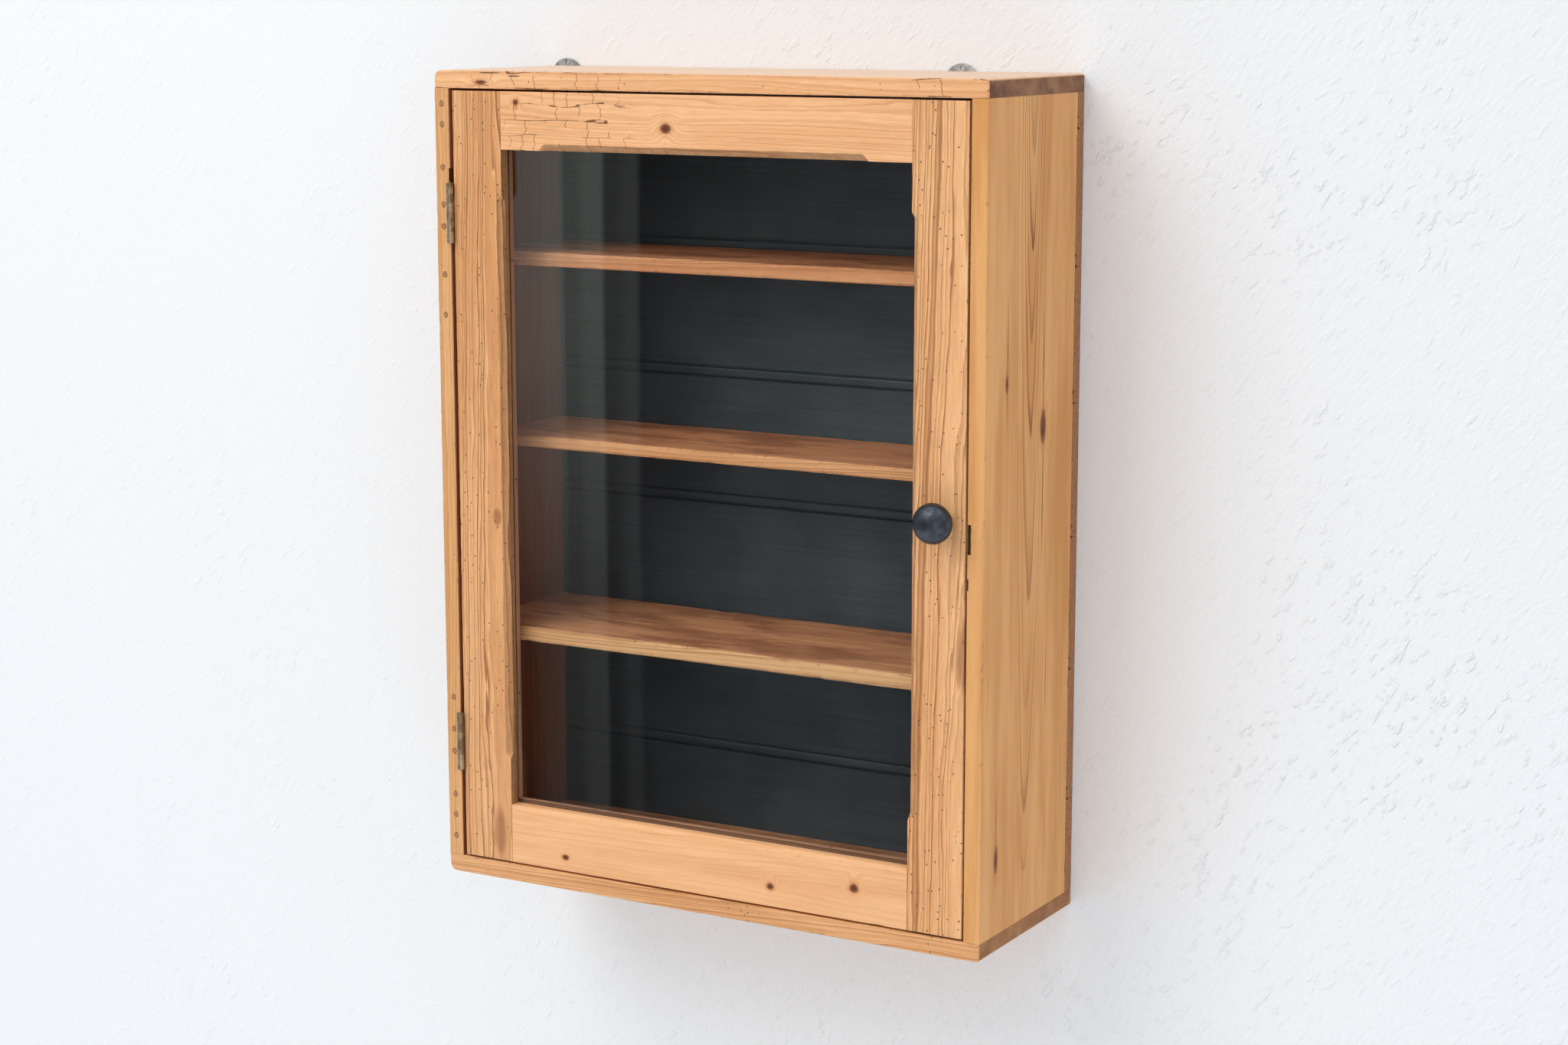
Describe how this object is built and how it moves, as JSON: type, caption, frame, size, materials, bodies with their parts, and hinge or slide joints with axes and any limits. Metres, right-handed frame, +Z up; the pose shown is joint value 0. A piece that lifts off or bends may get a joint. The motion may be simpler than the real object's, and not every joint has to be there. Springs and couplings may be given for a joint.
{
  "type": "display case",
  "caption": "Small wall-hung display case of old pine with housed shelves, a painted beaded-board back and a framed glass door on butt hinges.",
  "frame": {"origin": "middle of the casing's underside", "axes": "+X to the right as one faces the door, +Y towards the wall, +Z up"},
  "size_m": [0.52, 0.208, 0.7065],
  "materials": {
    "casing_pine": "waxed old pine, satin",
    "door_pine": "waxed old pine with raised grain, satin",
    "rail_pine": "waxed smooth pine, satin",
    "shelf_pine": "dull old pine",
    "painted_board": "dark slate paint, satin",
    "filler": "rubbed grey-brown filler",
    "glass": "clear sheet glass",
    "black_iron": "black satin",
    "dark_iron": "dark grey",
    "old_brass": "dulled brass",
    "steel_screw": "dull steel",
    "zinc_plate": "zinc-plated steel",
    "iron_nail": "rusted iron",
    "brown_plastic": "matte brown"
  },
  "bodies": {
    "casing": {"top_board": "casing_pine", "bottom_board": "casing_pine", "left_side": "casing_pine", "right_side": "casing_pine", "floor_board": "shelf_pine", "upper_shelf": "shelf_pine", "middle_shelf": "shelf_pine", "lower_shelf": "shelf_pine", "casing_nails": "iron_nail", "back_nails": "iron_nail", "left_hanging_plate": "zinc_plate", "right_hanging_plate": "zinc_plate", "hanging_plate_screws": "steel_screw", "side_plugs": "filler", "back_board_1": "painted_board", "back_board_2": "painted_board", "back_board_3": "painted_board", "back_board_4": "painted_board", "back_board_5": "painted_board", "back_board_6": "painted_board", "back_board_7": "painted_board", "upper_hinge_case_leaf": "old_brass", "lower_hinge_case_leaf": "old_brass", "upper_hinge_pin": "steel_screw", "lower_hinge_pin": "steel_screw", "hinge_case_screws": "steel_screw", "catch_body": "brown_plastic", "catch_magnet": "dark_iron", "catch_screws": "steel_screw"},
    "door": {"door_left_stile": "door_pine", "door_right_stile": "door_pine", "door_top_rail": "rail_pine", "door_bottom_rail": "rail_pine", "glass_pane": "glass", "left_glazing_bead": "rail_pine", "right_glazing_bead": "rail_pine", "top_glazing_bead": "rail_pine", "bottom_glazing_bead": "rail_pine", "glazing_pins": "iron_nail", "knob": "black_iron", "knob_screw": "steel_screw", "upper_hinge_door_leaf": "old_brass", "lower_hinge_door_leaf": "old_brass", "hinge_door_screws": "steel_screw", "strike_plate": "zinc_plate", "strike_screws": "steel_screw"}
  },
  "joints": [
    {"name": "door_hinge", "type": "hinge", "parent": "casing", "child": "door", "pos_m": [-0.2437, -0.0913, 0.35], "axis": [0, 0, -1], "range_deg": [0, 180]}
  ]
}
